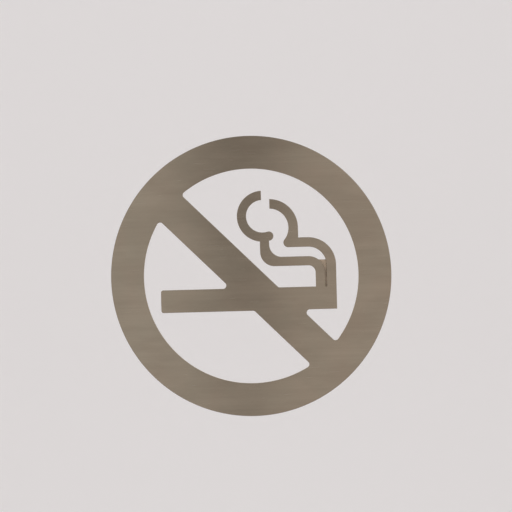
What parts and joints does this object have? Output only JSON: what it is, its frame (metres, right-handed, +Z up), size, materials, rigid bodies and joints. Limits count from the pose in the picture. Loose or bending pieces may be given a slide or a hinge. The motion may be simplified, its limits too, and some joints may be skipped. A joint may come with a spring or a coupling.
{
  "type": "no smoking sign",
  "caption": "Round no smoking sign for a door: a pictogram cut from brushed steel sheet, with foam tape on its back to stick it up.",
  "frame": {"origin": "on the ring's axis, in the plane of the tape's sticky faces that goes against the door", "axes": "+Z up as the sign hangs, +Y out of its back into the door, +X to the right as it is read, so the face looks along -Y"},
  "size_m": [0.1, 0.002, 0.1],
  "materials": {
    "brushed_sheet": "fine level brushing, satin, a warm grey tone",
    "foam_tape": "white closed-cell foam with a smooth sticky face"
  },
  "bodies": {
    "root": {"sign_plate": "brushed_sheet", "foam_tape_top": "foam_tape", "foam_tape_right": "foam_tape", "foam_tape_bottom": "foam_tape", "foam_tape_left": "foam_tape", "foam_tape_bar": "foam_tape", "foam_tape_tip": "foam_tape"}
  },
  "joints": []
}
